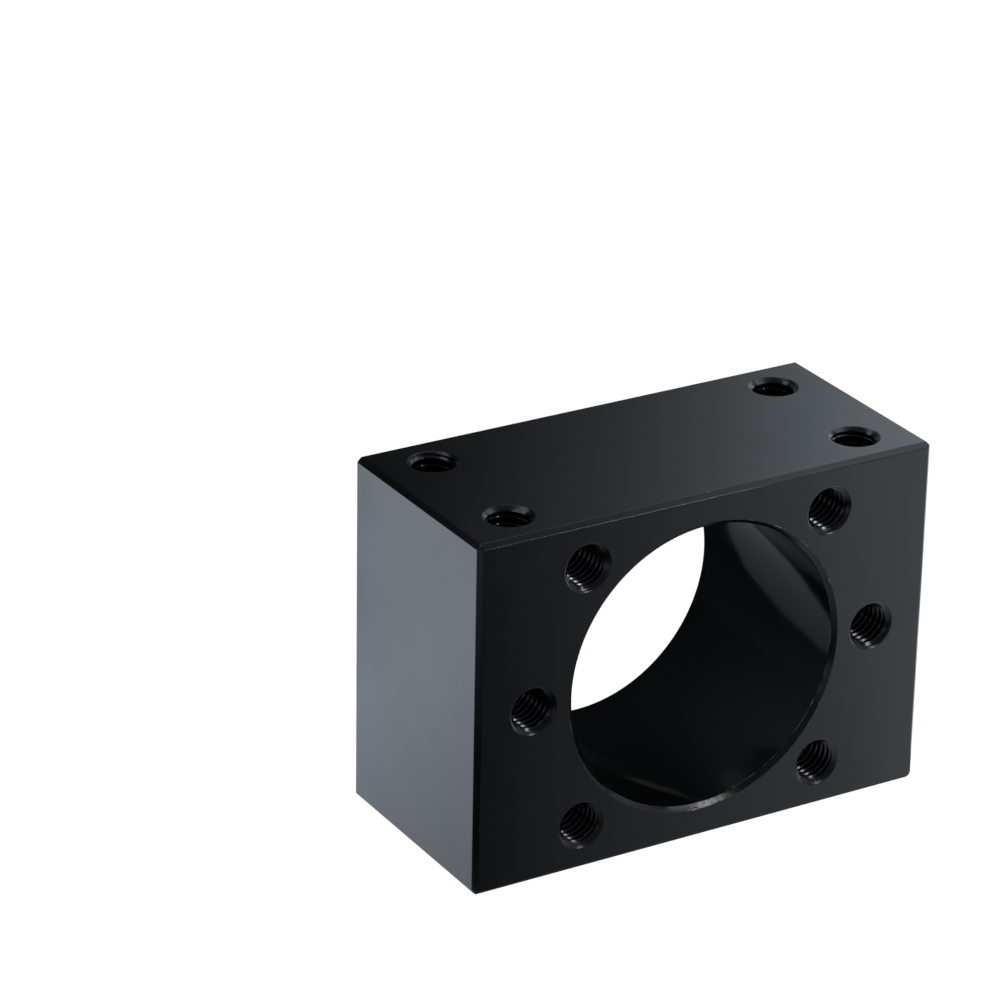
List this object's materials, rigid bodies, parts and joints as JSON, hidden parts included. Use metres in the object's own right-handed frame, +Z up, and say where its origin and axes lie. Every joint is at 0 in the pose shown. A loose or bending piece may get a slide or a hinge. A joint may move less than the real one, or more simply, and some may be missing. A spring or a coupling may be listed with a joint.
{
  "type": "ball screw nut housing",
  "caption": "Black anodised aluminium block with a through bore for a ball screw nut, tapped holes for the nut's flange and tapped holes in the table face.",
  "frame": {"origin": "on the screw axis, midway along the bore, which is also the middle of the block", "axes": "+X across the block, +Y along the screw from the flange face to the plain face, +Z up to the table face"},
  "size_m": [0.086, 0.04, 0.062],
  "materials": {
    "anodised_aluminium": "satin black anodised, milled faces, with bright metal showing where edges are worn"
  },
  "bodies": {
    "root": {"housing": "anodised_aluminium"}
  },
  "joints": []
}
